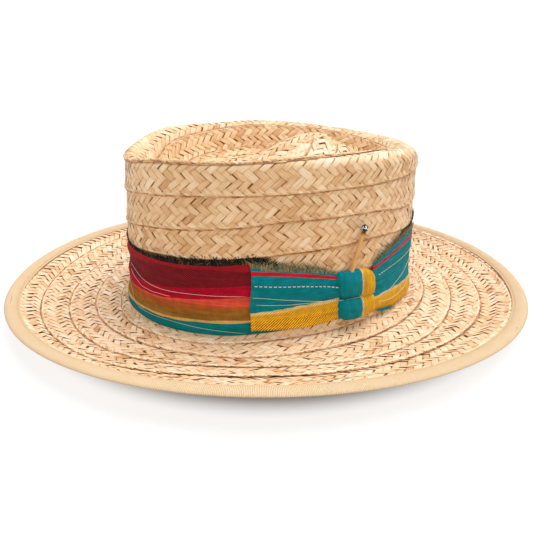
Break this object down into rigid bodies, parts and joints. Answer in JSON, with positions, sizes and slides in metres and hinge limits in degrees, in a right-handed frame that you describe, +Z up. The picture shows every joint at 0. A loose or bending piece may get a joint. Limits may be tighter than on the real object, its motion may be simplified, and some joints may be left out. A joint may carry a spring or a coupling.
{
  "type": "straw hat",
  "caption": "Braided straw hat with a dented telescope crown, wide bound brim, striped cloth band with a bow and a wooden match tucked behind it.",
  "frame": {"origin": "middle of the brim's outline on the surface that the hat rests on", "axes": "+Z up out of the crown, the hat's front towards -Y, the wearer's left and the bow towards +X"},
  "size_m": [0.3402, 0.3598, 0.1085],
  "materials": {
    "crown_straw": "matt plaited natural straw with a faint sheen",
    "brim_straw": "matt plaited natural straw with a faint sheen",
    "binding_cloth": "ribbed beige grosgrain ribbon",
    "band_cloth": "matt woven cloth with lengthwise stripes of red, maroon, crimson, orange, olive and teal",
    "charcoal_threads": "loose charcoal threads",
    "bow_cloth": "matt woven cloth, teal with a mustard band, a red line and a cream line",
    "olive_threads": "loose olive and teal threads",
    "match_wood": "plain pale wood",
    "match_tip": "shiny black match head"
  },
  "bodies": {
    "root": {"crown": "crown_straw", "brim": "brim_straw", "brim_binding": "binding_cloth", "hat_band": "band_cloth", "band_frayed_edge": "charcoal_threads", "bow_strip": "bow_cloth", "bow_tail": "bow_cloth", "bow_knot": "bow_cloth", "bow_frayed_edge": "olive_threads", "tail_frayed_edge": "olive_threads", "match_stick": "match_wood", "match_head": "match_tip"}
  },
  "joints": []
}
